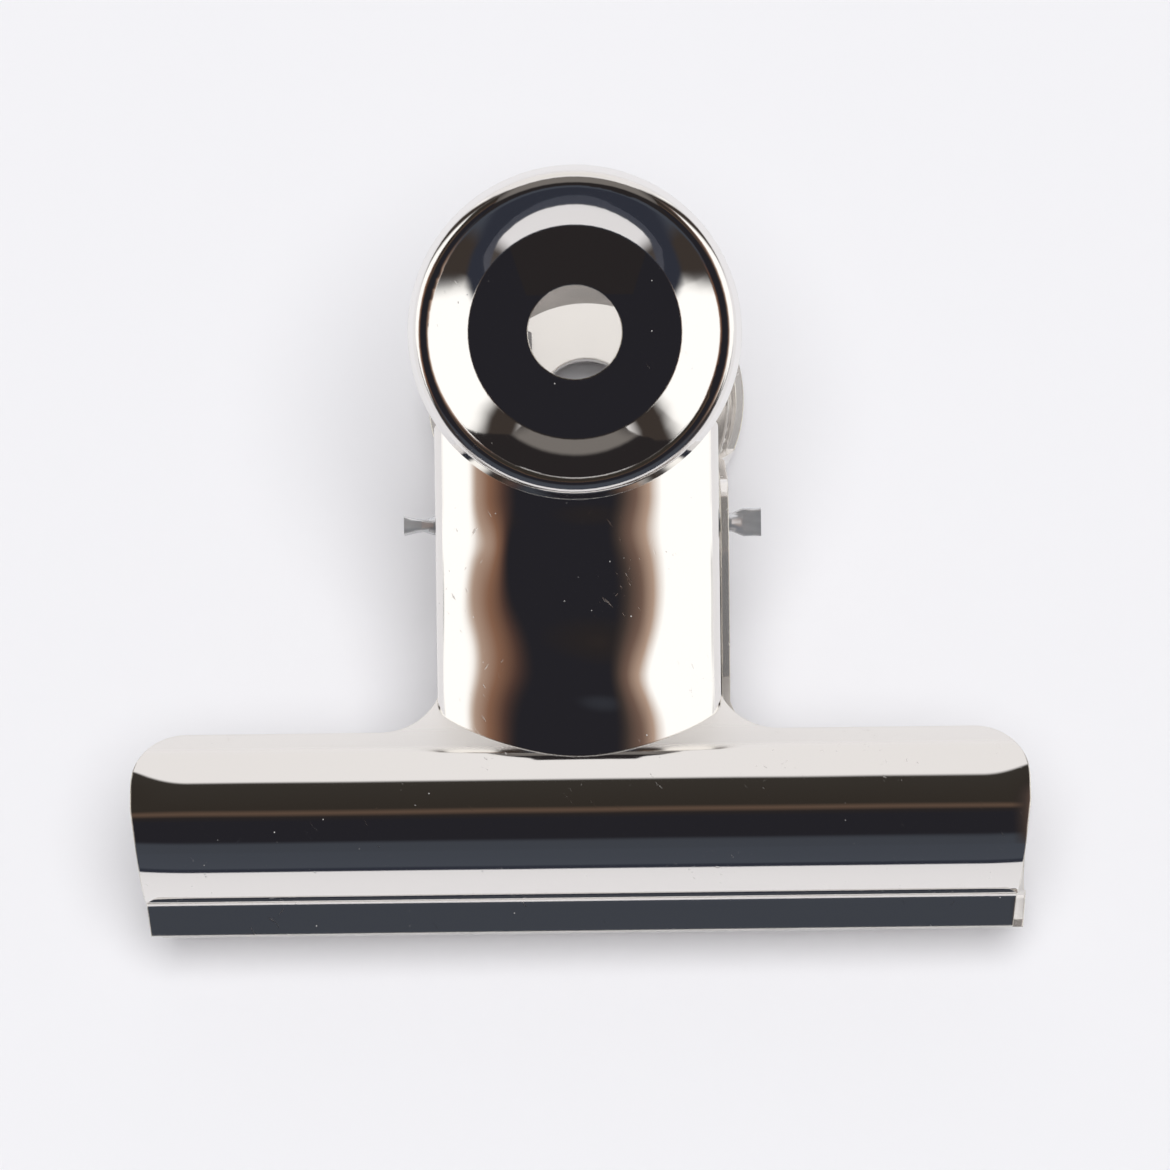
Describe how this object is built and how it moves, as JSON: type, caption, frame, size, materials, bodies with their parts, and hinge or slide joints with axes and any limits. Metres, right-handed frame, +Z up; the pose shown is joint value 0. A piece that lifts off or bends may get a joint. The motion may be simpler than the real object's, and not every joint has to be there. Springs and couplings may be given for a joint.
{
  "type": "bulldog clip",
  "caption": "Sprung round-head bulldog clip: rolled sheet-metal jaw bars on arched necks, hinged on a pin, opened by squeezing dished finger pads with hanging holes.",
  "frame": {"origin": "on the table under the middle of the clip's bounding box, the clip lying on its back", "axes": "+X along the jaws, +Y from the jaws to the finger pads, +Z up from the table"},
  "size_m": [0.076, 0.0648, 0.0409],
  "materials": {
    "nickel_plate": "bright nickel plate on steel sheet, polished",
    "pin_wire": "bright drawn wire, pinched ends with cut faces",
    "spring_wire": "drawn spring wire, satin"
  },
  "bodies": {
    "rear": {"rear_plate": "nickel_plate", "pivot_pin": "pin_wire", "torsion_spring": "spring_wire"},
    "front": {"front_plate": "nickel_plate"}
  },
  "joints": [
    {"name": "jaw_hinge", "type": "hinge", "parent": "rear", "child": "front", "pos_m": [0, 0.00162, 0.01472], "axis": [-1, 0, 0], "range_deg": [0, 62], "stiffness_Nm_per_rad": 0.3, "springref_deg": -68.75, "deforming": ["torsion_spring"]}
  ]
}
